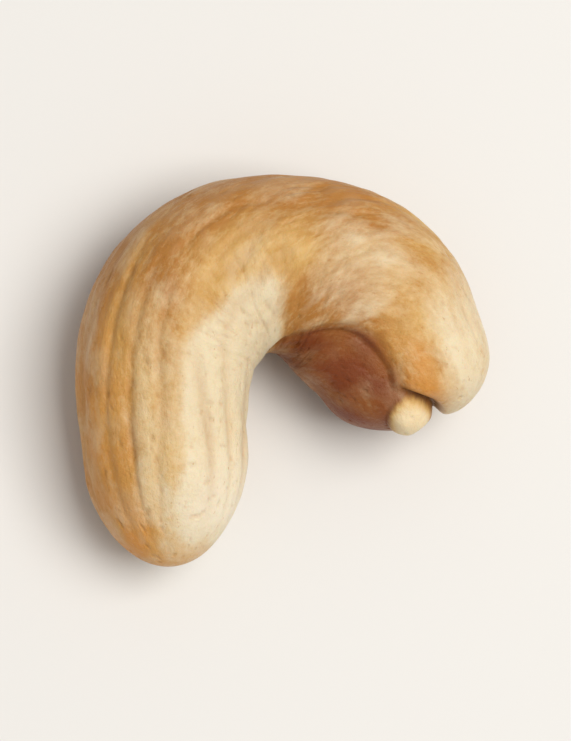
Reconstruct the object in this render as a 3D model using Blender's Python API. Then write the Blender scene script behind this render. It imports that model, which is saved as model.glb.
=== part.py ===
"""A whole cashew kernel, lying on its side with both ends of its C toward -Y.

The kernel is one solid. It is lofted along a curved middle line: a sphere's rings become the sections,
from the slender end, at the lower left, to the blunt end, at the lower right. Its two seed leaves meet
along a seam that runs round the edge of the C. The blunt arm is twisted, so that its inner seam lies
almost on top, with one seed leaf a little deeper than the other. At the blunt end the seam opens as a
cleft, and the pale tip of the seedling stands out beside it. Long furrows run along the skin, and break
up into wrinkles on the arch. Small flats on the underside carry the kernel.

Lengths are in millimetres up to the last step, which scales the mesh to metres.
"""

import bmesh
import bpy
import numpy as np
from mathutils import Vector, noise

MM = 0.001

# The middle line starts here, at the tip of the slender end, in plan (x to the right, y up)
SLENDER_TIP = (-6.05, -11.20)

# Sections along the middle line. Each row has the distance from the slender tip, the heading of the
# middle line in degrees (90 is along +Y), the half width in the plane of the C, the half thickness, the
# height of the underside, and how far the seam is turned, in degrees. The turn lifts the inner seam.
SECTIONS = (
    (0.0, 99, 4.20, 3.70, 0.45, -14),
    (5.0, 95, 4.75, 4.30, 0.00, -13),
    (9.5, 93, 5.10, 4.60, 0.14, -11),
    (12.5, 80, 5.35, 4.75, 0.20, -8),
    (16.0, 52, 5.50, 4.90, 0.08, -3),
    (19.0, 26, 5.40, 4.95, 0.00, 6),
    (22.5, -3, 5.40, 4.95, 0.12, 24),
    (26.0, -28, 5.85, 5.00, 0.20, 48),
    (29.0, -49, 5.95, 4.95, 0.06, 65),
    (32.0, -62, 5.45, 4.65, 0.00, 71),
    (36.5, -75, 4.70, 4.20, 0.30, 76),
)
DISTANCE, HEADING, WIDTH, THICKNESS, UNDERSIDE, TURN = range(6)

SLENDER_END = 6.0       # length over which the slender end rounds off
SLENDER_POWER = 2.1     # 2 is an ellipse, more is blunter
BLUNT_END = 3.6
BLUNT_POWER = 2.5
SQUARENESS = 0.94       # below 1 the sections are a little squarer than ellipses
EGG = 0.05              # extra thickness on the outer side of the C, as a share

SIDES = 88
RINGS = 66
CLOSER_RINGS = 2.8      # how much closer the rings are at the cleft

# Relief of the skin, as heights and depths along the surface normal. Sizes round the section hold
# where it has this radius.
SECTION_RADIUS = 5.5
SWELL_HEIGHT = 0.16
SWELL_SIZE = 5.0
SWELL_SEED = 21.9       # seeds pick another pattern of the same kind
FURROW_COUNT = 15       # furrows round the section
FURROW_DEPTH = 0.14
FURROW_SHARPNESS = 0.55
FURROW_WANDER = 2.6     # how far the furrows stray sideways, in radians of their own spacing
FURROW_WANDER_SIZE = 4.5
FURROW_WANDER_LENGTH = 8.0
FURROW_SEED = 3.7
WRINKLE_DEPTH = 0.16
WRINKLE_SPACING = 2.2
WRINKLE_LENGTH = 3.4
WRINKLE_SHARPNESS = 0.17
WRINKLE_SEED = 11.3
EVEN_STRENGTH = 0.85    # how deep furrows and wrinkles are on average, as a share
STRENGTH_CHANGE = 0.85  # how much deeper or fainter they are from place to place
STRENGTH_SIZE = 2.6
STRENGTH_LENGTH = 6.0
STRENGTH_SEED = 13.2
WRINKLE_START = 13.0    # distances between which furrows give way to wrinkles
WRINKLE_FULL = 19.0
FAINT_START = 23.0      # distances between which the wrinkles turn faint
FAINT_FULL = 28.0
FAINT_STRENGTH = 0.5
BARE_END = 7.0          # length at each end over which furrows and wrinkles die away
KEEL_HEIGHT = 0.22      # the long crest on top of the straight arm
KEEL_ANGLE = 82.0
KEEL_WIDTH = 16.0
KEEL_STOP = 15.0

# Seam and cleft, as depths, with half widths measured square to the seam
OUTER_SEAM_DEPTH = 0.10
INNER_SEAM_DEPTH = 0.34
SEAM_HALF_WIDTH = 0.45
CLEFT_DEPTH = 0.75
CLEFT_HALF_WIDTH = 0.32
EDGE_DEPTH = 0.30       # how much the cleft's edges are rounded off
EDGE_HALF_WIDTH = 1.0
CLEFT_LENGTH = 3.0
CLEFT_SHIFT = 0.9       # the cleft passes this far from the middle of the blunt end
SHIFT_LENGTH = 2.6      # length at the blunt end over which the seam swings out to it
BOW_SHIFT = 0.4         # how far the seam bows the other way, before that
BOW_PLACE = 2.4         # where it bows most, as a distance from the blunt tip
BOW_LENGTH = 1.2

# Along the inner seam of the blunt arm, the seed leaf on the inner side lies deeper than the other
LEDGE_DEPTH = 0.60
LEDGE_DROP = 0.6        # width over which the surface drops, beside the seam
LEDGE_RETURN = 5.0      # width over which it comes back
LEDGE_START = 21.0      # distances between which the ledge grows
LEDGE_FULL = 28.0
LEDGE_STOP = 3.5        # length at the blunt end over which it dies away

# The seedling's tip, an oval bump that stands out of the blunt end, beside the cleft and along it
TIP_ALONG = 36.0        # distance from the slender tip
TIP_ANGLE = 194.0       # angle round the section from the outer seam, in degrees
TIP_HEIGHT = 0.80
TIP_HALF_LENGTH = 2.00
TIP_HALF_WIDTH = 1.45
TIP_EDGE = 0.45         # width beside the cleft over which the bump rises
TIP_ROOT = 3.5          # the bump points away from a place this far inside the blunt end
TIP_FULLNESS = 0.7      # 0.5 is an ellipse, more is nearer to a cone

REST_DEPTH = 0.14       # how much the lowest places are flattened

SKIN_COLOUR = (0.62, 0.40, 0.17, 1.0)
SKIN_ROUGHNESS = 0.5


def clear_scene():
    """Removes what the scene starts with."""
    for thing in list(bpy.data.objects):
        bpy.data.objects.remove(thing, do_unlink=True)


def smooth_step(value, low, high):
    """Rises from 0 at low to 1 at high."""
    share = np.clip((value - low) / (high - low), 0.0, 1.0)
    return share * share * (3 - 2 * share)


class Loft:
    """The kernel's smooth form, read by distance along the middle line and angle round the section."""

    STEPS = 2000

    def __init__(self):
        self.rows = np.array(SECTIONS, dtype=float)
        self.knots = self.rows[:, DISTANCE]
        self.length = self.knots[-1]
        self.fine = np.linspace(0, self.length, self.STEPS)
        heading = np.radians(self.column(self.fine, HEADING))
        steps = np.stack([np.cos(heading), np.sin(heading)], axis=1) * self.length / (self.STEPS - 1)
        walk = np.cumsum((steps[1:] + steps[:-1]) / 2, axis=0)
        self.middle = np.array(SLENDER_TIP) + np.concatenate([[[0, 0]], walk])
        self.bend = -np.gradient(heading, self.fine)

    def column(self, along, index):
        """Reads one column of SECTIONS along the middle line, as a smooth curve."""
        values = self.rows[:, index]
        slopes = np.gradient(values, self.knots)
        row = np.clip(np.searchsorted(self.knots, along) - 1, 0, len(self.knots) - 2)
        gap = self.knots[row + 1] - self.knots[row]
        u = (along - self.knots[row]) / gap
        start = (2 * u - 3) * u * u + 1
        lean = u * (1 - u) * ((1 - u) * slopes[row] - u * slopes[row + 1])
        return start * values[row] + (1 - start) * values[row + 1] + gap * lean

    def rounding(self, along):
        """Gives the share of the full section, from 0 at each tip to 1 past its rounding."""
        from_slender = np.clip(1 - along / SLENDER_END, 0, 1)
        from_blunt = np.clip(1 - (self.length - along) / BLUNT_END, 0, 1)
        return np.sqrt((1 - from_slender ** SLENDER_POWER) * (1 - from_blunt ** BLUNT_POWER))

    def ring_places(self, shares):
        """Turns shares of the ring count, tip to tip, into distances that space the rings evenly."""
        fine = self.length * (1 - np.cos(np.linspace(0, np.pi, self.STEPS))) / 2
        radius = self.column(fine, WIDTH) * self.rounding(fine)
        near_cleft = smooth_step(fine[1:], self.length - 2 * CLEFT_LENGTH, self.length - CLEFT_LENGTH)
        steps = np.hypot(np.diff(fine), np.diff(radius)) * (1 + (CLOSER_RINGS - 1) * near_cleft)
        walked = np.concatenate([[0], np.cumsum(steps)])
        return np.interp(shares * walked[-1], walked, fine)

    def section_sides(self, along, around):
        """Gives a point's place in its section: outward in the plane of the C, and up from its middle."""
        angle = around - np.radians(self.column(along, TURN))
        across = np.sign(np.cos(angle)) * np.abs(np.cos(angle)) ** SQUARENESS
        upward = np.sign(np.sin(angle)) * np.abs(np.sin(angle)) ** SQUARENESS
        width = self.column(along, WIDTH) * self.rounding(along)
        thickness = self.column(along, THICKNESS) * self.rounding(along) * (1 + EGG * np.cos(angle))
        return width * across, thickness * upward

    def points(self, along, around):
        """Gives points of the smooth surface."""
        heading = np.radians(self.column(along, HEADING))
        outward = np.stack([-np.sin(heading), np.cos(heading)], axis=1)
        middle = np.stack([np.interp(along, self.fine, self.middle[:, axis]) for axis in (0, 1)], axis=1)
        across, upward = self.section_sides(along, around)
        height = self.column(along, THICKNESS) + self.column(along, UNDERSIDE) + upward
        return np.column_stack([middle + outward * across[:, None], height])

    def spread(self, along, around):
        """Gives how far apart the sections are at a point, as a share of their distance at the middle."""
        across, _ = self.section_sides(along, around)
        return 1 + np.interp(along, self.fine, self.bend) * across


def wave(around, along, spacing, length, seed):
    """Reads a smooth noise that is stretched along the kernel and joins up round the section."""
    reach = SECTION_RADIUS / spacing
    return np.array([
        noise.noise(Vector((reach * np.cos(angle), reach * np.sin(angle), place / length + seed)))
        for angle, place in zip(around, along)
    ])


def valleys(waves, sharpness):
    """Makes narrow valleys, 1 deep, where a noise passes through zero."""
    return np.exp(-(waves / sharpness) ** 2)


def skin_relief(loft, along, around):
    """Height of the swellings and the keel, less the depth of the long furrows and the wrinkles."""
    wrinkled = smooth_step(along, WRINKLE_START, WRINKLE_FULL)
    ends = smooth_step(along, 0, BARE_END) * smooth_step(loft.length - along, 0, BARE_END)
    change = STRENGTH_CHANGE * wave(around, along, STRENGTH_SIZE, STRENGTH_LENGTH, STRENGTH_SEED)
    fading = 1 - (1 - FAINT_STRENGTH) * smooth_step(along, FAINT_START, FAINT_FULL)
    strength = np.maximum(EVEN_STRENGTH + change, 0) * fading
    crowding = np.clip(loft.spread(along, around), 0, 1)
    stray = wave(around, along, FURROW_WANDER_SIZE, FURROW_WANDER_LENGTH, FURROW_SEED)
    furrow = valleys(np.sin(FURROW_COUNT * around / 2 + FURROW_WANDER * stray), FURROW_SHARPNESS)
    wrinkle = valleys(wave(around, along, WRINKLE_SPACING, WRINKLE_LENGTH, WRINKLE_SEED), WRINKLE_SHARPNESS)
    lines = FURROW_DEPTH * (1 - wrinkled) * furrow + WRINKLE_DEPTH * wrinkled * wrinkle
    swell = SWELL_HEIGHT * wave(around, along, SWELL_SIZE, SWELL_SIZE, SWELL_SEED)
    off_keel = (np.degrees(around) - KEEL_ANGLE) / KEEL_WIDTH
    keel = KEEL_HEIGHT * np.exp(-off_keel ** 2) * (1 - smooth_step(along, KEEL_STOP / 2, KEEL_STOP))
    return crowding * swell + ends * (keel - crowding * strength * lines)


def seam_distance(loft, along, around):
    """Gives the distance from the seam, above zero on the seed leaf that has the seedling's tip."""
    radius = np.hypot(*loft.section_sides(along, around))
    from_tip = loft.length - along
    swing = CLEFT_SHIFT * (1 - smooth_step(from_tip, 0, SHIFT_LENGTH))
    bow = BOW_SHIFT * np.exp(-((from_tip - BOW_PLACE) / BOW_LENGTH) ** 2)
    return swing - bow - radius * np.sin(around)


def seam_relief(loft, along, around):
    """Depth of the seam groove, of the cleft at the blunt end and of the ledge beside them, below zero."""
    off_seam = seam_distance(loft, along, around)
    inner = (1 - np.cos(around)) / 2
    depth = OUTER_SEAM_DEPTH + (INNER_SEAM_DEPTH - OUTER_SEAM_DEPTH) * inner
    depth = depth * smooth_step(along, 0, BARE_END)
    opening = smooth_step(along, loft.length - CLEFT_LENGTH, loft.length - CLEFT_LENGTH / 3)
    groove = depth * np.exp(-(off_seam / SEAM_HALF_WIDTH) ** 2)
    cleft = CLEFT_DEPTH * np.exp(-(off_seam / CLEFT_HALF_WIDTH) ** 2)
    edges = EDGE_DEPTH * np.exp(-(off_seam / EDGE_HALF_WIDTH) ** 2)
    drop = smooth_step(off_seam, 0, LEDGE_DROP) * (1 - smooth_step(off_seam, LEDGE_DROP, LEDGE_RETURN))
    reach = smooth_step(along, LEDGE_START, LEDGE_FULL) * smooth_step(loft.length - along, 0, LEDGE_STOP)
    ledge = LEDGE_DEPTH * drop * reach * smooth_step(inner, 0.5, 0.9)
    return -groove * (1 - opening) - (cleft + edges) * opening - ledge


def seedling_push(loft, along, around, surface):
    """Push that raises the seedling's tip, as a vector for each point of the surface."""
    centre = loft.points(np.array([TIP_ALONG]), np.radians([TIP_ANGLE]))[0]
    root = loft.points(np.array([loft.length]), np.zeros(1))[0]
    heading = np.radians(SECTIONS[-1][HEADING])
    turn = np.radians(SECTIONS[-1][TURN])
    forward = np.array([np.cos(heading), np.sin(heading), 0])
    outward = np.array([-np.sin(heading), np.cos(heading), 0])
    lower = -np.sin(turn) * outward - np.cos(turn) * np.array([0, 0, 1])
    pointing = centre - (root - TIP_ROOT * forward)
    pointing /= np.linalg.norm(pointing)
    beside = np.cross(lower, pointing)
    lower = np.cross(pointing, beside)
    offset = surface - centre
    reach = np.hypot(offset @ beside / TIP_HALF_LENGTH, offset @ lower / TIP_HALF_WIDTH)
    reach = np.hypot(reach, offset @ pointing / TIP_HALF_LENGTH)
    height = TIP_HEIGHT * np.clip(1 - reach ** 2, 0, 1) ** TIP_FULLNESS
    height *= smooth_step(seam_distance(loft, along, around), 0, TIP_EDGE)
    return height[:, None] * pointing


def shape_kernel(ball):
    """Moves a unit sphere's points onto the kernel, then raises and cuts the relief along the normals."""
    starts = np.array([point.co for point in ball.verts])
    shares = np.arccos(np.clip(-starts[:, 2], -1, 1)) / np.pi
    around = np.arctan2(starts[:, 1], starts[:, 0])

    loft = Loft()
    along = loft.ring_places(shares)
    surface = loft.points(along, around)
    for point, place in zip(ball.verts, surface):
        point.co = place
    ball.normal_update()
    normals = np.array([point.normal for point in ball.verts])

    relief = skin_relief(loft, along, around) + seam_relief(loft, along, around)
    surface += normals * relief[:, None] + seedling_push(loft, along, around, surface)

    surface[:, 2] -= surface[:, 2].min() + REST_DEPTH
    surface[:, 2] = np.maximum(surface[:, 2], 0)
    surface[:, :2] -= (surface[:, :2].min(axis=0) + surface[:, :2].max(axis=0)) / 2
    for point, place in zip(ball.verts, surface * MM):
        point.co = place


def skin_material():
    """Plain pale tan, as roasted kernels are."""
    material = bpy.data.materials.new("roasted_kernel")
    material.use_nodes = True
    shader = material.node_tree.nodes["Principled BSDF"]
    shader.inputs["Base Color"].default_value = SKIN_COLOUR
    shader.inputs["Roughness"].default_value = SKIN_ROUGHNESS
    shader.inputs["Metallic"].default_value = 0.0
    return material


def make_kernel(collection):
    """Builds the kernel as one closed mesh."""
    ball = bmesh.new()
    bmesh.ops.create_uvsphere(ball, u_segments=SIDES, v_segments=RINGS, radius=1.0)
    shape_kernel(ball)
    bmesh.ops.triangulate(ball, faces=ball.faces[:])
    mesh = bpy.data.meshes.new("kernel")
    ball.to_mesh(mesh)
    ball.free()
    mesh.shade_smooth()
    mesh.materials.append(skin_material())
    kernel = bpy.data.objects.new("kernel", mesh)
    collection.objects.link(kernel)


def main():
    clear_scene()
    collection = bpy.data.collections.new("cashew_nut")
    bpy.context.scene.collection.children.link(collection)
    make_kernel(collection)


main()
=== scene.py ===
"""Looks of the cashew kernel: a fine mesh of its skin, its roasted material, soft light and the camera."""

import math

import bmesh
import bpy
import numpy as np
from mathutils import Matrix, Vector, noise


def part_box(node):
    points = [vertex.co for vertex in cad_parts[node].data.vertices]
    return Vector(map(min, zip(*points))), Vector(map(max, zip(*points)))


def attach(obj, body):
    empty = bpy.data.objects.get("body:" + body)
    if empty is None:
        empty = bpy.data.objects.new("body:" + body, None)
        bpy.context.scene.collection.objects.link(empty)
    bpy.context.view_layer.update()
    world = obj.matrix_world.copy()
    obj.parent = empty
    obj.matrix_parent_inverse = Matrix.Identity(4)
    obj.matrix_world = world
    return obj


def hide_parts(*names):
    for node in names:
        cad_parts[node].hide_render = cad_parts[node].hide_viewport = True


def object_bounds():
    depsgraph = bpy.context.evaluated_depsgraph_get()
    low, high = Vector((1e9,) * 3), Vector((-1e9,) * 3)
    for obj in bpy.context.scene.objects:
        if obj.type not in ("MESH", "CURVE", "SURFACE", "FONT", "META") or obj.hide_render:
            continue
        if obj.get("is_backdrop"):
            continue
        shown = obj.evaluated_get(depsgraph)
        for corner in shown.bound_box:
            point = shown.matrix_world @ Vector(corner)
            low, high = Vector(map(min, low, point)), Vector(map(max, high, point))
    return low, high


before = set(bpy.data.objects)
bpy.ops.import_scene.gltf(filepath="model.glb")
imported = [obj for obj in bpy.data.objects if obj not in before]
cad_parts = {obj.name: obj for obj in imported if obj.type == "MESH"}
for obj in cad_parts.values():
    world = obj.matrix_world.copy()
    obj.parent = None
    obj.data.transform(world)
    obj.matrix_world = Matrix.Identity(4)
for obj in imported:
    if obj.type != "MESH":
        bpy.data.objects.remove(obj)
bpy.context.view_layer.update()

MM = 0.001

# The middle line starts here, at the tip of the slender end, in plan (x to the right, y up).
# Lengths are in millimetres until a mesh is made.
SLENDER_TIP = (-6.05, -11.20)

# Sections along the middle line. Each row has the distance from the slender tip, the heading of the
# middle line in degrees (90 is along +Y), the half width in the plane of the C, the half thickness, the
# height of the underside, and how far the seam is turned, in degrees. The turn lifts the inner seam.
SECTIONS = (
    (0.0, 99, 4.20, 3.70, 0.45, -14),
    (5.0, 95, 4.75, 4.30, 0.00, -13),
    (9.5, 93, 5.10, 4.60, 0.14, -11),
    (12.5, 80, 5.35, 4.75, 0.20, -8),
    (16.0, 52, 5.50, 4.90, 0.08, -3),
    (19.0, 26, 5.40, 4.95, 0.00, 6),
    (22.5, -3, 5.40, 4.95, 0.12, 24),
    (26.0, -28, 5.85, 5.00, 0.20, 48),
    (29.0, -49, 5.95, 4.95, 0.06, 65),
    (32.0, -62, 5.45, 4.65, 0.00, 71),
    (36.5, -75, 4.70, 4.20, 0.30, 76),
)
DISTANCE, HEADING, WIDTH, THICKNESS, UNDERSIDE, TURN = range(6)

SLENDER_END = 6.0       # length over which the slender end rounds off
SLENDER_POWER = 2.1     # 2 is an ellipse, more is blunter
BLUNT_END = 3.6
BLUNT_POWER = 2.5
SQUARENESS = 0.94       # below 1 the sections are a little squarer than ellipses
EGG = 0.05              # extra thickness on the outer side of the C, as a share

SIDES = 320
RINGS = 300
CLOSER_RINGS = 1.6      # how much closer the rings are at the cleft

# Relief of the skin, as heights and depths along the surface normal. Sizes round the section hold
# where it has this radius.
SECTION_RADIUS = 5.5
SWELL_HEIGHT = 0.16
SWELL_SIZE = 5.0
SWELL_START = 2.0       # length at each tip over which the swellings grow, in this mesh alone
SWELL_SEED = 21.9       # seeds pick another pattern of the same kind
FURROW_COUNT = 15       # furrows round the section
FURROW_DEPTH = 0.14
FURROW_SHARPNESS = 0.55
FURROW_WANDER = 2.6     # how far the furrows stray sideways, in radians of their own spacing
FURROW_WANDER_SIZE = 4.5
FURROW_WANDER_LENGTH = 8.0
FURROW_SEED = 3.7
WRINKLE_DEPTH = 0.16
WRINKLE_SPACING = 2.2
WRINKLE_LENGTH = 3.4
WRINKLE_SHARPNESS = 0.17
WRINKLE_SEED = 11.3
EVEN_STRENGTH = 0.85    # how deep furrows and wrinkles are on average, as a share
STRENGTH_CHANGE = 0.85  # how much deeper or fainter they are from place to place
STRENGTH_SIZE = 2.6
STRENGTH_LENGTH = 6.0
STRENGTH_SEED = 13.2
WRINKLE_START = 13.0    # distances between which furrows give way to wrinkles
WRINKLE_FULL = 19.0
FAINT_START = 23.0      # distances between which the wrinkles turn faint
FAINT_FULL = 28.0
FAINT_STRENGTH = 0.5
BARE_END = 7.0          # length at each end over which furrows and wrinkles die away
KEEL_HEIGHT = 0.22      # the long crest on top of the straight arm
KEEL_ANGLE = 82.0
KEEL_WIDTH = 16.0
KEEL_STOP = 15.0

# Seam and cleft, as depths, with half widths measured square to the seam
OUTER_SEAM_DEPTH = 0.10
INNER_SEAM_DEPTH = 0.34
SEAM_HALF_WIDTH = 0.45
CLEFT_DEPTH = 0.75
CLEFT_HALF_WIDTH = 0.32
EDGE_DEPTH = 0.30       # how much the cleft's edges are rounded off
EDGE_HALF_WIDTH = 1.0
CLEFT_LENGTH = 3.0
CLEFT_SHIFT = 0.9       # the cleft passes this far from the middle of the blunt end
SHIFT_LENGTH = 2.6      # length at the blunt end over which the seam swings out to it
BOW_SHIFT = 0.4         # how far the seam bows the other way, before that
BOW_PLACE = 2.4         # where it bows most, as a distance from the blunt tip
BOW_LENGTH = 1.2

# Along the inner seam of the blunt arm, the seed leaf on the inner side lies deeper than the other
LEDGE_DEPTH = 0.60
LEDGE_DROP = 0.6        # width over which the surface drops, beside the seam
LEDGE_RETURN = 5.0      # width over which it comes back
LEDGE_START = 21.0      # distances between which the ledge grows
LEDGE_FULL = 28.0
LEDGE_STOP = 3.5        # length at the blunt end over which it dies away
LEDGE_SIDE = (0.5, 0.9)     # where it is 0 and full, from 0 at the outer seam to 1 at the inner one

# The seedling's tip, an oval bump that stands out of the blunt end, beside the cleft and along it
TIP_ALONG = 36.0        # distance from the slender tip
TIP_ANGLE = 194.0       # angle round the section from the outer seam, in degrees
TIP_HEIGHT = 0.80
TIP_HALF_LENGTH = 2.00
TIP_HALF_WIDTH = 1.45
TIP_EDGE = 0.45         # width beside the cleft over which the bump rises
TIP_ROOT = 3.5          # the bump points away from a place this far inside the blunt end
TIP_FULLNESS = 0.7      # 0.5 is an ellipse, more is nearer to a cone

REST_DEPTH = 0.14       # how much the lowest places are flattened

# Finer relief, which only this mesh has. A noise is given by its spacing round the section, its length
# along the kernel and its seed.
RIB_NOISE = (0.75, 6.0, 41.3)       # fine ribs beside and between the furrows
RIB_HEIGHT = 0.018
RIB_EVEN = 0.4                      # their share where there are no furrows
DENT_NOISE = (1.7, 1.7, 46.9)       # shallow dents all over
DENT_DEPTH = 0.085
PUCKER_NOISE = (0.75, 0.75, 52.7)   # small puckers all over
PUCKER_HEIGHT = 0.035
SHOULDER_PUCKERS = 2                # how much higher they are on the shoulder, as a share
CREASE_NOISE = (1.15, 2.3, 57.1)    # fine creases, strongest where the skin wrinkles
CREASE_SHARPNESS = 0.15
CREASE_DEPTH = 0.060
CREASE_EVEN = 0.25                  # their share where the skin has furrows instead
CREASE_MARK = 0.5                   # how much they are coloured, as a share of the other marks
CROSS_NOISE = (3.2, 0.62, 63.1)     # short creases across the C, where its bend squeezes the skin
CROSS_SHARPNESS = 0.13
CROSS_DEPTH = 0.16
CROSS_PATCHES = (2.4, 2.0, 71.9)
CROSS_PATCH_EDGE = (-0.05, 0.25)    # noise values between which a patch begins
PIT_NOISE = (0.5, 0.5, 77.3)        # scattered pits
PIT_EDGE = (0.40, 0.62)
PIT_DEPTH = 0.07
LUMP_NOISE = (1.1, 1.1, 66.1)       # uneven places on the seedling's tip
LUMP_SHARE = 0.35

# Zones of the skin. Each row has a measure, where on it the zone's share is 0, and where it is 1:
# along is the distance from the slender tip, inwards goes from -1 on the outer rim of the C to 1 inside
# its bend, upward is the angle from the outer rim over the top, in degrees, turned is the same angle
# less PALE_TURN past the straight arm, on_top is 1 on top and -1 below, and off_seam is the distance from
# the seam, above zero on the seed leaf that has the seedling's tip.
SHOULDER = (("along", 22, 25), ("along", 30, 27.5), ("on_top", 0.8, 0.98))
SQUEEZED = (("along", 11, 15), ("along", 30, 25), ("inwards", -0.35, 0.35))
OUTER_RIM = (("inwards", 0.1, -0.7), ("along", 12, 18))
BLUNT_ARM = (("along", 23, 29),)
# Inside the bend: toasting, partly painted shade
INSIDE_ARCH = (("inwards", 0.1, 0.55), ("along", 19.5, 22.5))
# Beside the seam: toasting, partly painted shade
BESIDE_SEAM = (("off_seam", -5.0, -1.5), ("inwards", -0.3, 0.2), ("along", 20.5, 25))
# Outer edge of the straight arm: painted shade
FLANK_EDGE = (("inwards", -0.7, -0.97), ("along", 18, 14))
STRAIGHT_ARM = (("along", 20, 14),)
OUTER_FLANK = (("inwards", -0.35, -0.85), ("along", 17, 10))
# The slender end's lower rim and point, where contact shade is painted in orange
SLENDER_RIM = (("inwards", 0, -0.4), ("along", 5, 1))
SLENDER_POINT = (("along", 2.2, 0.4),)
CLEFT_LIP = (("off_seam", 0.2, -0.4), ("off_seam", -3.0, -1.2), ("inwards", -0.4, 0.1), ("along", 29.5, 33.5))
PALE_TOP = (("upward", 52, 70), ("along", 16, 11))
PALE_BEND = (("along", 12, 16),)
PALE_INNER = (("turned", 83, 98), ("along", 22.3, 20.2))
PALE_LIMIT = (("upward", 190, 165), ("along", 0.5, 3.5))
SLENDER_TOP = (("along", -1, 2), ("along", 6, 1.5), ("inwards", -0.40, 0.25))
BLUNT_OUTER = (("along", 28, 32), ("inwards", 0, -0.45), ("on_top", -0.4, 0.4))
# Painted highlight at the slender end
SLENDER_HIGHLIGHT = (("along", 0.5, 2.6), ("along", 8, 3), ("inwards", -0.35, 0.35))
# The inner leaf of the blunt arm, where its shade is painted
INNER_LEAF = (("inwards", -0.45, 0.45), ("along", 18, 24), ("off_seam", -0.6, 0.35))
LEAF_BELOW = (("off_seam", 3, 8),)
TIP_FAR_SIDE = (("off_seam", 1.2, 2.8),)
PALE_TURN = 12          # degrees

# Shares of toasting and painted shade, orange, cream and the dark painted shade of the inner leaf in those
# zones. Each of the patches and stripes has a share and a noise.
EVEN_TOAST = 0.20
RIM_TOAST = 0.80
RIM_TOAST_LOST = 0.8                # how much of it is lost on the blunt arm
# Toasting inside the bend and beside the seam is partly painted shade; on the straight arm's outer edge it is
# painted shade
ARCH_TOAST_AND_SHADE = 0.50
SEAM_TOAST_AND_SHADE = 0.60
EDGE_SHADE = 0.60
TOAST_PATCHES = ((0.35, (4.5, 6.0, 81.3)), (0.28, (1.6, 2.2, 87.7)))
TOAST_STRIPES = ((0.45, (1.7, 14.0, 84.2)),)
FLANK_ORANGE = 0.62
# Orange at the slender end paints its contact shade
END_SHADE_ORANGE = 0.60
LIP_ORANGE = 0.60
ORANGE_PATCHES = ((0.35, (2.6, 5.0, 90.4)), (0.50, (1.3, 1.9, 95.8)))
TOP_CREAM = 0.30
END_CREAM = 0.85
SHOULDER_CREAM = 0.35
PATCH_CREAM = 0.25
CREAM_PATCHES = ((1.00, (2.8, 3.6, 93.1)), (0.50, (1.1, 1.5, 94.6)))
CREAM_PATCH_EDGE = (0.05, 0.55)
# Painted shade of the inner leaf, with some toasting in it
LEAF_SHADE_EVEN = 0.95
LEAF_SHADE_PATCHES = ((0.50, (2.0, 2.6, 97.3)),)
LEAF_SHADE_LOST = 0.6                     # how much of the dark colour is lost on the underside
TIP_FADE = 0.5                      # how much the seedling's tip fades on the side away from the cleft

# Camera, in the direction of the photograph's view: from above, leaning to the lower left
CAMERA_LEAN = 15.0
CAMERA_LEAN_TOWARDS = 210.0
CAMERA_LENS = 250.0
CAMERA_SEES = (0.01, 10.0)  # nearest and farthest place that it shows, in metres
FRAME_WIDTH_SHARE = 0.74    # share of the picture's width that the kernel's width takes

# Light and floor
KEY_TOWARDS = 5.0       # direction of the main light in plan, in degrees from +X towards +Y
KEY_HEIGHT = 72.0       # its height above the horizon, in degrees
KEY_DISTANCE = 0.5
KEY_SIZE = 0.36
KEY_POWER = 2.35
KEY_COLOUR = (1.0, 0.96, 0.90)
SKY_STRENGTH = 0.43
SKY_COLOUR = (1.0, 0.985, 0.96, 1)
FLOOR_SIZE = 6.0
FLOOR_COLOUR = (0.75, 0.745, 0.735, 1)
FLOOR_ROUGHNESS = 0.8


def smooth_step(value, none, full):
    """Goes smoothly from 0 at none to 1 at full, which may lie below it."""
    share = np.clip((value - none) / (full - none), 0.0, 1.0)
    return share * share * (3 - 2 * share)


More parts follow.
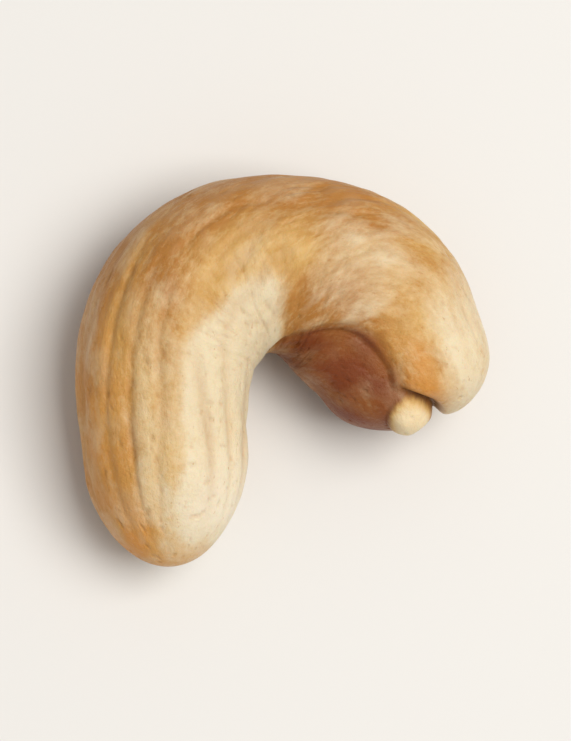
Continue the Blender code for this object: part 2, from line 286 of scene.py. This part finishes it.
class Loft:
    """The kernel's smooth form, read by distance along the middle line and angle round the section."""

    STEPS = 2000

    def __init__(self):
        self.rows = np.array(SECTIONS, dtype=float)
        self.knots = self.rows[:, DISTANCE]
        self.length = self.knots[-1]
        self.fine = np.linspace(0, self.length, self.STEPS)
        heading = np.radians(self.column(self.fine, HEADING))
        steps = np.stack([np.cos(heading), np.sin(heading)], axis=1) * self.length / (self.STEPS - 1)
        walk = np.cumsum((steps[1:] + steps[:-1]) / 2, axis=0)
        self.middle = np.array(SLENDER_TIP) + np.concatenate([[[0, 0]], walk])
        self.bend = -np.gradient(heading, self.fine)

    def column(self, along, index):
        """Reads one column of SECTIONS along the middle line, as a smooth curve."""
        values = self.rows[:, index]
        slopes = np.gradient(values, self.knots)
        row = np.clip(np.searchsorted(self.knots, along) - 1, 0, len(self.knots) - 2)
        gap = self.knots[row + 1] - self.knots[row]
        u = (along - self.knots[row]) / gap
        start = (2 * u - 3) * u * u + 1
        lean = u * (1 - u) * ((1 - u) * slopes[row] - u * slopes[row + 1])
        return start * values[row] + (1 - start) * values[row + 1] + gap * lean

    def rounding(self, along):
        """Gives the share of the full section, from 0 at each tip to 1 past its rounding."""
        from_slender = np.clip(1 - along / SLENDER_END, 0, 1)
        from_blunt = np.clip(1 - (self.length - along) / BLUNT_END, 0, 1)
        return np.sqrt((1 - from_slender ** SLENDER_POWER) * (1 - from_blunt ** BLUNT_POWER))

    def ring_places(self, shares):
        """Turns shares of the ring count, tip to tip, into distances that space the rings evenly."""
        fine = self.length * (1 - np.cos(np.linspace(0, np.pi, self.STEPS))) / 2
        radius = self.column(fine, WIDTH) * self.rounding(fine)
        near_cleft = smooth_step(fine[1:], self.length - 2 * CLEFT_LENGTH, self.length - CLEFT_LENGTH)
        steps = np.hypot(np.diff(fine), np.diff(radius)) * (1 + (CLOSER_RINGS - 1) * near_cleft)
        walked = np.concatenate([[0], np.cumsum(steps)])
        return np.interp(shares * walked[-1], walked, fine)

    def section_sides(self, along, around):
        """Gives a point's place in its section: outward in the plane of the C, and up from its middle."""
        angle = around - np.radians(self.column(along, TURN))
        across = np.sign(np.cos(angle)) * np.abs(np.cos(angle)) ** SQUARENESS
        upward = np.sign(np.sin(angle)) * np.abs(np.sin(angle)) ** SQUARENESS
        width = self.column(along, WIDTH) * self.rounding(along)
        thickness = self.column(along, THICKNESS) * self.rounding(along) * (1 + EGG * np.cos(angle))
        return width * across, thickness * upward

    def points(self, along, around):
        """Gives points of the smooth surface."""
        heading = np.radians(self.column(along, HEADING))
        outward = np.stack([-np.sin(heading), np.cos(heading)], axis=1)
        middle = np.stack([np.interp(along, self.fine, self.middle[:, axis]) for axis in (0, 1)], axis=1)
        across, upward = self.section_sides(along, around)
        height = self.column(along, THICKNESS) + self.column(along, UNDERSIDE) + upward
        return np.column_stack([middle + outward * across[:, None], height])

    def spread(self, along, around):
        """Gives how far apart the sections are at a point, as a share of their distance at the middle."""
        across, _ = self.section_sides(along, around)
        return 1 + np.interp(along, self.fine, self.bend) * across


def wave(places, spacing, length, seed):
    """Reads a smooth noise that is stretched along the kernel and joins up round the section."""
    shrunk = places / np.array([spacing, spacing, length]) + np.array([0, 0, seed])
    return np.array([noise.noise(Vector(place)) for place in shrunk])


def valleys(waves, sharpness):
    """Makes narrow valleys, 1 deep, where a noise passes through zero."""
    return np.exp(-(waves / sharpness) ** 2)


def seam_distance(loft, along, around):
    """Gives the distance from the seam, above zero on the seed leaf that has the seedling's tip."""
    radius = np.hypot(*loft.section_sides(along, around))
    from_tip = loft.length - along
    swing = CLEFT_SHIFT * (1 - smooth_step(from_tip, 0, SHIFT_LENGTH))
    bow = BOW_SHIFT * np.exp(-((from_tip - BOW_PLACE) / BOW_LENGTH) ** 2)
    return swing - bow - radius * np.sin(around)


class Skin:
    """Relief of the skin at each point, with the shares of furrow, seam and cleft that colour it."""

    def __init__(self, loft, along, around):
        self.loft = loft
        self.along = along
        self.around = around
        self.wrinkled = smooth_step(along, WRINKLE_START, WRINKLE_FULL)
        self.crowding = np.clip(loft.spread(along, around), 0, 1)
        self.ends = smooth_step(along, 0, BARE_END) * smooth_step(loft.length - along, 0, BARE_END)
        circle = SECTION_RADIUS * np.column_stack([np.cos(around), np.sin(around)])
        self.even_places = np.column_stack([circle, along])
        self.places = np.column_stack([circle * loft.rounding(along)[:, None], along])
        self.read_lines()
        self.read_seam()
        self.read_measures()

    def read_measures(self):
        """Reads what the zones are measured by."""
        side = self.around - np.radians(self.loft.column(self.along, TURN))
        self.measures = {
            "along": self.along,
            "inwards": -np.cos(side) * self.loft.rounding(self.along),
            "upward": np.degrees(side),
            "on_top": np.sin(side),
            "off_seam": self.off_seam,
        }
        self.measures["turned"] = self.measures["upward"] - PALE_TURN * self.zone(PALE_BEND)

    def zone(self, rows):
        """Share of a zone, which is the product of its rows."""
        share = 1.0
        for measure, none, full in rows:
            share = share * smooth_step(self.measures[measure], none, full)
        return share

    def even_wave(self, spacing, length, seed):
        """Noise as the solid has it, which holds its count round the section at the tips."""
        return wave(self.even_places, spacing, length, seed)

    def wave(self, kind):
        """Noise for what only this mesh has, which holds its size at the tips."""
        return wave(self.places, *kind)

    def patches(self, kinds):
        """Sum of noises, each times its share."""
        return sum(share * self.wave(kind) for share, kind in kinds)

    def read_lines(self):
        """Reads the long furrows and the wrinkles, and how strong they are."""
        stray = self.even_wave(FURROW_WANDER_SIZE, FURROW_WANDER_LENGTH, FURROW_SEED)
        furrow = valleys(np.sin(FURROW_COUNT * self.around / 2 + FURROW_WANDER * stray), FURROW_SHARPNESS)
        wrinkle = self.even_wave(WRINKLE_SPACING, WRINKLE_LENGTH, WRINKLE_SEED)
        wrinkle = valleys(wrinkle, WRINKLE_SHARPNESS)
        change = STRENGTH_CHANGE * self.even_wave(STRENGTH_SIZE, STRENGTH_LENGTH, STRENGTH_SEED)
        fading = 1 - (1 - FAINT_STRENGTH) * smooth_step(self.along, FAINT_START, FAINT_FULL)
        self.strength = np.maximum(EVEN_STRENGTH + change, 0) * fading
        depth = FURROW_DEPTH * (1 - self.wrinkled) * furrow + WRINKLE_DEPTH * self.wrinkled * wrinkle
        self.lines = self.ends * self.crowding * self.strength * depth

    def read_seam(self):
        """Reads the depth of the seam groove, and of the cleft where it opens at the blunt end."""
        off_seam = seam_distance(self.loft, self.along, self.around)
        self.off_seam = off_seam
        inner = (1 - np.cos(self.around)) / 2
        depth = OUTER_SEAM_DEPTH + (INNER_SEAM_DEPTH - OUTER_SEAM_DEPTH) * inner
        depth = depth * smooth_step(self.along, 0, BARE_END)
        length = self.loft.length
        opening = smooth_step(self.along, length - CLEFT_LENGTH, length - CLEFT_LENGTH / 3)
        self.seam = depth * np.exp(-(off_seam / SEAM_HALF_WIDTH) ** 2) * (1 - opening)
        self.cleft = CLEFT_DEPTH * np.exp(-(off_seam / CLEFT_HALF_WIDTH) ** 2) * opening
        self.edges = EDGE_DEPTH * np.exp(-(off_seam / EDGE_HALF_WIDTH) ** 2) * opening
        drop = smooth_step(off_seam, 0, LEDGE_DROP) * (1 - smooth_step(off_seam, LEDGE_DROP, LEDGE_RETURN))
        reach = smooth_step(self.along, LEDGE_START, LEDGE_FULL)
        reach = reach * smooth_step(length - self.along, 0, LEDGE_STOP)
        self.ledge = LEDGE_DEPTH * drop * reach * smooth_step(inner, *LEDGE_SIDE)

    def broad_relief(self):
        """Height of the swellings and the keel."""
        swell = SWELL_HEIGHT * self.even_wave(SWELL_SIZE, SWELL_SIZE, SWELL_SEED)
        off_keel = (np.degrees(self.around) - KEEL_ANGLE) / KEEL_WIDTH
        stop = smooth_step(self.along, KEEL_STOP / 2, KEEL_STOP)
        keel = KEEL_HEIGHT * np.exp(-off_keel ** 2) * (1 - stop)
        from_tips = np.minimum(self.along, self.loft.length - self.along)
        return self.crowding * smooth_step(from_tips, 0, SWELL_START) * swell + self.ends * keel

    def fine_relief(self):
        """Height of the ribs and puckers, less the depth of the dents, creases and pits."""
        shoulder = self.zone(SHOULDER)
        rib = RIB_HEIGHT * self.wave(RIB_NOISE) * (RIB_EVEN + self.strength)
        dent = DENT_DEPTH * self.wave(DENT_NOISE)
        pucker = PUCKER_HEIGHT * self.wave(PUCKER_NOISE) * (1 + SHOULDER_PUCKERS * shoulder)
        crease = valleys(self.wave(CREASE_NOISE), CREASE_SHARPNESS) * self.strength
        crease = crease * (CREASE_EVEN + (1 - CREASE_EVEN) * self.wrinkled)
        cross = valleys(self.wave(CROSS_NOISE), CROSS_SHARPNESS) * self.zone(SQUEEZED)
        cross = cross * smooth_step(self.wave(CROSS_PATCHES), *CROSS_PATCH_EDGE)
        pit = smooth_step(self.wave(PIT_NOISE), *PIT_EDGE)
        self.marks = np.clip(CREASE_MARK * crease + cross + pit, 0, 1)
        # Raised places, which the material paints paler: a painted highlight
        self.crests = np.clip((rib + dent + pucker) / DENT_DEPTH, 0, 1) * (1 + shoulder)
        lowered = CREASE_DEPTH * crease + CROSS_DEPTH * cross
        return self.ends * self.crowding * (rib + dent + pucker - lowered) - PIT_DEPTH * pit

    def relief(self):
        """Height of the whole relief, with the seam and the cleft opened in it."""
        opened = self.seam + self.cleft + self.edges + self.ledge
        return self.broad_relief() + self.fine_relief() - self.lines - opened


def seedling_tip(loft, along, around, surface):
    """Push that raises the seedling's tip, as a vector for each point, and the share of it there."""
    centre = loft.points(np.array([TIP_ALONG]), np.radians([TIP_ANGLE]))[0]
    root = loft.points(np.array([loft.length]), np.zeros(1))[0]
    heading = np.radians(SECTIONS[-1][HEADING])
    turn = np.radians(SECTIONS[-1][TURN])
    forward = np.array([np.cos(heading), np.sin(heading), 0])
    outward = np.array([-np.sin(heading), np.cos(heading), 0])
    lower = -np.sin(turn) * outward - np.cos(turn) * np.array([0, 0, 1])
    pointing = centre - (root - TIP_ROOT * forward)
    pointing /= np.linalg.norm(pointing)
    beside = np.cross(lower, pointing)
    lower = np.cross(pointing, beside)
    offset = surface - centre
    reach = np.hypot(offset @ beside / TIP_HALF_LENGTH, offset @ lower / TIP_HALF_WIDTH)
    reach = np.hypot(reach, offset @ pointing / TIP_HALF_LENGTH)
    share = np.clip(1 - reach ** 2, 0, 1) ** TIP_FULLNESS
    share *= smooth_step(seam_distance(loft, along, around), 0, TIP_EDGE)
    share *= 1 + LUMP_SHARE * wave(surface, *LUMP_NOISE)
    return TIP_HEIGHT * share[:, None] * pointing, share


def settle(surface):
    """Flattens the lowest places, and moves the kernel to where its CAD solid lies."""
    surface[:, 2] -= surface[:, 2].min() + REST_DEPTH
    surface[:, 2] = np.maximum(surface[:, 2], 0)
    low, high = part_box("kernel")
    middle = np.array([(low[axis] + high[axis]) / 2 for axis in (0, 1)]) / MM
    surface[:, :2] += middle - (surface[:, :2].min(axis=0) + surface[:, :2].max(axis=0)) / 2
    return surface


def browning_and_shade(skin):
    """Share of toasted brown: toasting on the outer rim and in patches, partly painted shade inside the bend
    and beside the seam, and painted shade on the straight arm's outer edge.
    """
    share = EVEN_TOAST + RIM_TOAST * skin.zone(OUTER_RIM) * (1 - RIM_TOAST_LOST * skin.zone(BLUNT_ARM))
    share = share + ARCH_TOAST_AND_SHADE * skin.zone(INSIDE_ARCH) + SEAM_TOAST_AND_SHADE * skin.zone(BESIDE_SEAM)
    share = share + EDGE_SHADE * skin.zone(FLANK_EDGE) + skin.patches(TOAST_PATCHES)
    share = share + skin.patches(TOAST_STRIPES) * skin.zone(STRAIGHT_ARM)
    return np.clip(share, 0, 1)


def orange_share(skin):
    """Share of orange: on the outer flank of the straight arm, at its end as a painted contact shade, and on
    the cleft's lip.
    """
    # painted contact shade at the slender end
    end = np.maximum(skin.zone(SLENDER_RIM), skin.zone(SLENDER_POINT))
    share = FLANK_ORANGE * skin.zone(OUTER_FLANK) + END_SHADE_ORANGE * end + LIP_ORANGE * skin.zone(CLEFT_LIP)
    return np.clip(share * (1 + skin.patches(ORANGE_PATCHES)), 0, 1)


def paleness(skin):
    """Share of cream: the top and inner flank of the straight arm, both ends, and patches."""
    flank = np.maximum(TOP_CREAM * skin.zone(PALE_TOP), skin.zone(PALE_INNER)) * skin.zone(PALE_LIMIT)
    share = flank + skin.zone(SLENDER_TOP) + END_CREAM * skin.zone(BLUNT_OUTER)
    share = share + SHOULDER_CREAM * skin.zone(SHOULDER)
    share = share + PATCH_CREAM * smooth_step(skin.patches(CREAM_PATCHES), *CREAM_PATCH_EDGE)
    return np.clip(share, 0, 1)


def leaf_shade_share(skin):
    """Share of the dark brown on the seed leaf that lies deeper, inside the blunt arm: painted shade of that
    recessed leaf, with some toasting in it.
    """
    leaf = skin.zone(INNER_LEAF) * (1 - LEAF_SHADE_LOST * skin.zone(LEAF_BELOW))
    return leaf * (LEAF_SHADE_EVEN + skin.patches(LEAF_SHADE_PATCHES))


def store(mesh, name, values):
    """Keeps one number, or one vector, for each point of the mesh, where the material reads it."""
    kind = "FLOAT" if values.ndim == 1 else "FLOAT_VECTOR"
    field = "value" if values.ndim == 1 else "vector"
    layer = mesh.attributes.new(name, kind, "POINT")
    layer.data.foreach_set(field, values.astype(np.float32).ravel())


def store_shares(mesh, skin, tip):
    """Keeps what colours the skin."""
    # Depth of the furrows and seam, which the material darkens as painted shade
    hollow = skin.lines / FURROW_DEPTH + skin.seam / INNER_SEAM_DEPTH
    store(mesh, "toast_and_shade", browning_and_shade(skin))
    store(mesh, "orange", orange_share(skin))
    store(mesh, "cream", paleness(skin))
    # painted highlight at the slender end
    store(mesh, "slender_highlight", skin.zone(SLENDER_HIGHLIGHT))
    store(mesh, "deep", leaf_shade_share(skin))
    store(mesh, "hollow", np.clip(hollow, 0, 1))
    store(mesh, "marks", skin.marks)
    store(mesh, "crests", skin.crests)
    store(mesh, "cleft", np.clip(skin.cleft / CLEFT_DEPTH, 0, 1))
    store(mesh, "seedling", tip * (1 - TIP_FADE * skin.zone(TIP_FAR_SIDE)))
    store(mesh, "grain", skin.places)


def make_kernel():
    """Makes the fine skin from a sphere: its rings become the sections, and the relief is raised on it."""
    ball = bmesh.new()
    bmesh.ops.create_uvsphere(ball, u_segments=SIDES, v_segments=RINGS, radius=1.0)
    starts = np.array([point.co for point in ball.verts])
    shares = np.arccos(np.clip(-starts[:, 2], -1, 1)) / np.pi
    around = np.arctan2(starts[:, 1], starts[:, 0])
    loft = Loft()
    along = loft.ring_places(shares)
    surface = loft.points(along, around)
    for point, place in zip(ball.verts, surface):
        point.co = place
    ball.normal_update()
    normals = np.array([point.normal for point in ball.verts])

    skin = Skin(loft, along, around)
    push, tip = seedling_tip(loft, along, around, surface)
    surface = settle(surface + normals * skin.relief()[:, None] + push)
    for point, place in zip(ball.verts, surface * MM):
        point.co = place

    mesh = bpy.data.meshes.new("kernel_skin")
    ball.to_mesh(mesh)
    ball.free()
    mesh.shade_smooth()
    store_shares(mesh, skin, tip)
    piece = bpy.data.objects.new("kernel_skin", mesh)
    bpy.context.scene.collection.objects.link(piece)
    return piece


class Graph:
    """Short calls for building one material's nodes."""

    def __init__(self, name):
        self.material = bpy.data.materials.new(name)
        self.material.use_nodes = True
        self.tree = self.material.node_tree
        self.shader = self.tree.nodes["Principled BSDF"]

    def feed(self, socket, value):
        """Links an output to a socket, or sets the socket's own value."""
        if isinstance(value, bpy.types.NodeSocket):
            self.tree.links.new(value, socket)
        else:
            socket.default_value = value

    def attribute(self, name, field="Fac"):
        """Reads what the mesh stores under a name."""
        node = self.tree.nodes.new("ShaderNodeAttribute")
        node.attribute_name = name
        return node.outputs[field]

    def add(self, first, second, clamp=False):
        node = self.tree.nodes.new("ShaderNodeMath")
        node.operation = "ADD"
        node.use_clamp = clamp
        self.feed(node.inputs[0], first)
        self.feed(node.inputs[1], second)
        return node.outputs[0]

    def scaled(self, value, size, offset=0.0):
        """value * size + offset."""
        node = self.tree.nodes.new("ShaderNodeMath")
        node.operation = "MULTIPLY_ADD"
        self.feed(node.inputs[0], value)
        self.feed(node.inputs[1], size)
        self.feed(node.inputs[2], offset)
        return node.outputs[0]

    def centred(self, noise_value, size):
        """A noise, which lies round a half, made to swing round zero by up to half the size."""
        return self.scaled(noise_value, size, -size / 2)

    def rise(self, value, low, high, top=1.0):
        """Rises smoothly from 0 to top as value goes from low to high."""
        node = self.tree.nodes.new("ShaderNodeMapRange")
        node.interpolation_type = "SMOOTHSTEP"
        for name, number in (("Value", value), ("From Min", low), ("From Max", high), ("To Max", top)):
            self.feed(node.inputs[name], number)
        return node.outputs["Result"]

    def noise(self, places, along, scale, detail, roughness, warp):
        """Noise whose scale along the kernel is its scale across, times along."""
        mapping = self.tree.nodes.new("ShaderNodeMapping")
        self.feed(mapping.inputs["Vector"], places)
        mapping.inputs["Scale"].default_value = (1.0, 1.0, along)
        node = self.tree.nodes.new("ShaderNodeTexNoise")
        self.feed(node.inputs["Vector"], mapping.outputs["Vector"])
        node.inputs["Scale"].default_value = scale
        node.inputs["Detail"].default_value = detail
        node.inputs["Roughness"].default_value = roughness
        node.inputs["Distortion"].default_value = warp
        return node.outputs["Fac"]

    def mix(self, share, first, second):
        node = self.tree.nodes.new("ShaderNodeMix")
        node.data_type = "RGBA"
        self.feed(node.inputs["Factor"], share)
        self.feed(node.inputs["A"], first)
        self.feed(node.inputs["B"], second)
        return node.outputs["Result"]

    def bump(self, height, distance, under):
        """Bump of one noise over the bump under it."""
        node = self.tree.nodes.new("ShaderNodeBump")
        node.inputs["Distance"].default_value = distance
        self.feed(node.inputs["Height"], height)
        if under is not None:
            self.feed(node.inputs["Normal"], under)
        return node.outputs["Normal"]


# Colours of the roasted seed, linear
CREAM = (0.76, 0.66, 0.46, 1)
# Whitish cream that paints the highlight at the slender end
HIGHLIGHT_CREAM = (0.83, 0.75, 0.59, 1)
TAN = (0.64, 0.395, 0.12, 1)
# Toasted brown, also used to paint shade in the furrows, creases, inside the bend and on the straight arm's
# outer edge
TOAST_AND_SHADE_BROWN = (0.43, 0.185, 0.036, 1)
ORANGE = (0.66, 0.28, 0.050, 1)
# Painted shade of the recessed inner leaf, with some toasting in it
LEAF_SHADE_BROWN = (0.180, 0.028, 0.001, 1)
# Painted shade in the cleft
CLEFT_SHADE_DARK = (0.15, 0.05, 0.010, 1)
SEEDLING = (0.77, 0.62, 0.385, 1)

# Noises of the material. Each has its scale along the kernel as a share of the scale across, then that
# scale, its detail, roughness and warp.
MATERIAL_NOISES = {
    "streak": (0.2, 2.2, 4.0, 0.6, 0.4),
    "mottle": (0.7, 0.8, 6.0, 0.65, 0.5),
    "speckle": (1.0, 2.6, 4.0, 0.7, 0.0),
    "fleck": (0.6, 4.0, 2.0, 0.5, 0.0),
    "pores": (1.0, 6.5, 5.0, 0.65, 0.0),
}
UNEVENNESS = (("mottle", 1.1), ("speckle", 0.8), ("streak", 0.35))

# Layers of colour over the tan, from below. Each has the name of its share on the mesh, how much the
# unevenness adds to that, an even amount that is added too, how far it covers, and its colour.
LAYERS = (
    # toasted brown, partly painted shade inside the bend, beside the seam and on the straight arm's outer
    # edge
    ("toast_and_shade", 1.0, 0.0, 1.0, TOAST_AND_SHADE_BROWN),
    # orange, which at the slender end paints contact shade
    ("orange", -0.4, 0.0, 0.95, ORANGE),
    ("cream", -0.75, 0.0, 0.92, CREAM),
    # painted highlight at the slender end
    ("slender_highlight", -0.4, -0.1, 0.8, HIGHLIGHT_CREAM),
)
# Layer of painted shade on the inner leaf, with some toasting in it
LEAF_SHADE_LAYER = ("deep", 0.25, -0.1, 0.92, LEAF_SHADE_BROWN)
# Painted highlight: cream on the crests of the fine relief
CREST_COVER = 0.25
# Painted shade in the furrows, seam, creases and pits, with some real darkening at the wrinkles
HOLLOW_COVER = 0.26
MARK_COVER = 0.20
FLECK_EDGE = (0.66, 0.78)           # noise values between which a dark fleck begins
FLECK_COVER = 0.55
# Painted shade in the cleft
CLEFT_COVER = 0.8
TIP_RAGGEDNESS = 0.4                # how much speckles shift the edge of the seedling's tip
TIP_EDGE_RISE = (0.05, 0.45)        # shares between which the tip covers the skin
TIP_PALE_RISE = (0.2, 0.75)         # shares between which it turns from tan to its own colour

EVEN_ROUGHNESS = 0.44
ROUGHNESS_CHANGES = (("mottle", 0.20), ("speckle", 0.14))
BUMPS = (("streak", 0.05), ("speckle", 0.07), ("pores", 0.04))      # distances in millimetres
SHADER_VALUES = {
    "IOR": 1.45,
    "Specular IOR Level": 0.38,
    "Subsurface Weight": 0.18,
    "Subsurface Radius": (1.0, 0.45, 0.18),
    "Subsurface Scale": 0.9 * MM,
}


def add_layer(graph, colour, unevenness, layer):
    """Lays one colour over another, with an edge that follows the unevenness."""
    name, change, even, cover, tone = layer
    share = graph.add(graph.attribute(name), graph.scaled(unevenness, change, even), clamp=True)
    return graph.mix(graph.scaled(share, cover), colour, tone)


def skin_colour(graph, noises):
    """Tan, orange, cream and toasted brown in places, with painted shade in the furrows, creases and cleft
    and on the inner leaf, and a painted highlight on the crests.
    """
    unevenness = 0.0
    for name, size in UNEVENNESS:
        unevenness = graph.add(graph.centred(noises[name], size), unevenness)
    colour = TAN
    for layer in LAYERS:
        colour = add_layer(graph, colour, unevenness, layer)

    # painted highlight on the crests
    colour = graph.mix(graph.scaled(graph.attribute("crests"), CREST_COVER), colour, CREAM)
    # painted shade in the furrows, seam, creases and pits, partly real darkening at the wrinkles
    hollow = graph.scaled(graph.attribute("hollow"), HOLLOW_COVER)
    hollow = graph.add(hollow, graph.scaled(graph.attribute("marks"), MARK_COVER), clamp=True)
    colour = graph.mix(hollow, colour, TOAST_AND_SHADE_BROWN)
    colour = graph.mix(graph.rise(noises["fleck"], *FLECK_EDGE, FLECK_COVER), colour, TOAST_AND_SHADE_BROWN)
    # painted shade on the recessed inner leaf
    colour = add_layer(graph, colour, unevenness, LEAF_SHADE_LAYER)
    # painted shade in the cleft
    colour = graph.mix(graph.scaled(graph.attribute("cleft"), CLEFT_COVER), colour, CLEFT_SHADE_DARK)

    ragged = graph.add(graph.attribute("seedling"), graph.centred(noises["speckle"], TIP_RAGGEDNESS))
    tip = graph.mix(graph.rise(ragged, *TIP_PALE_RISE), TAN, SEEDLING)
    return graph.mix(graph.rise(ragged, *TIP_EDGE_RISE), colour, tip)


def roasted_skin():
    """Roasted seed: a satin, mottled skin, a little translucent, with fine bump from its noises."""
    graph = Graph("roasted_kernel")
    grain = graph.attribute("grain", "Vector")
    noises = {name: graph.noise(grain, *kind) for name, kind in MATERIAL_NOISES.items()}
    roughness = EVEN_ROUGHNESS
    for name, size in ROUGHNESS_CHANGES:
        roughness = graph.add(graph.centred(noises[name], size), roughness)
    normal = None
    for name, distance in BUMPS:
        normal = graph.bump(noises[name], distance * MM, normal)

    graph.feed(graph.shader.inputs["Base Color"], skin_colour(graph, noises))
    graph.feed(graph.shader.inputs["Roughness"], roughness)
    graph.feed(graph.shader.inputs["Normal"], normal)
    for name, value in SHADER_VALUES.items():
        graph.shader.inputs[name].default_value = value
    return graph.material


def floor():
    """A plain pale surface under the kernel."""
    bpy.ops.mesh.primitive_plane_add(size=FLOOR_SIZE, location=(0, 0, 0))
    plane = bpy.context.object
    plane.name = "floor"
    graph = Graph("pale_floor")
    graph.shader.inputs["Base Color"].default_value = FLOOR_COLOUR
    graph.shader.inputs["Roughness"].default_value = FLOOR_ROUGHNESS
    plane.data.materials.append(graph.material)
    plane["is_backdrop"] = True


def area_light(name, towards, height, distance, size, power, colour):
    """A soft square light that faces the kernel."""
    data = bpy.data.lights.new(name, "AREA")
    data.size = size
    data.energy = power
    data.color = colour
    light = bpy.data.objects.new(name, data)
    plan = math.cos(math.radians(height))
    back = Vector((
        plan * math.cos(math.radians(towards)),
        plan * math.sin(math.radians(towards)),
        math.sin(math.radians(height)),
    ))
    light.location = back * distance
    light.rotation_euler = back.to_track_quat("Z", "Y").to_euler()
    light.visible_camera = False
    bpy.context.scene.collection.objects.link(light)


def lights():
    """One soft main light from above, a little to the right, and an even pale surrounding."""
    area_light("key", KEY_TOWARDS, KEY_HEIGHT, KEY_DISTANCE, KEY_SIZE, KEY_POWER, KEY_COLOUR)
    world = bpy.data.worlds.new("studio")
    world.use_nodes = True
    background = world.node_tree.nodes["Background"]
    background.inputs["Color"].default_value = SKY_COLOUR
    background.inputs["Strength"].default_value = SKY_STRENGTH
    bpy.context.scene.world = world


def camera():
    """Looks down on the kernel, a little from the lower left, with +Y up in the picture."""
    low, high = (Vector(corner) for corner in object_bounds())
    middle = (low + high) / 2
    lean = math.radians(CAMERA_LEAN)
    towards = math.radians(CAMERA_LEAN_TOWARDS)
    back = Vector((math.sin(lean) * math.cos(towards), math.sin(lean) * math.sin(towards), math.cos(lean)))
    right = Vector((0, 1, 0)).cross(back).normalized()
    up = back.cross(right)
    data = bpy.data.cameras.new("camera")
    data.sensor_fit = "HORIZONTAL"
    data.lens = CAMERA_LENS
    width = (high.x - low.x) / FRAME_WIDTH_SHARE
    distance = width * data.lens / data.sensor_width
    data.clip_start, data.clip_end = CAMERA_SEES
    view = bpy.data.objects.new("camera", data)
    view.matrix_world = Matrix.Translation(middle + back * distance) @ Matrix(
        (right, up, back)).transposed().to_4x4()
    bpy.context.scene.collection.objects.link(view)
    bpy.context.scene.camera = view


def main():
    kernel = make_kernel()
    kernel.data.materials.append(roasted_skin())
    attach(kernel, "root")
    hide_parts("kernel")
    floor()
    lights()
    camera()
    bpy.context.scene.view_settings.view_transform = "Standard"


main()
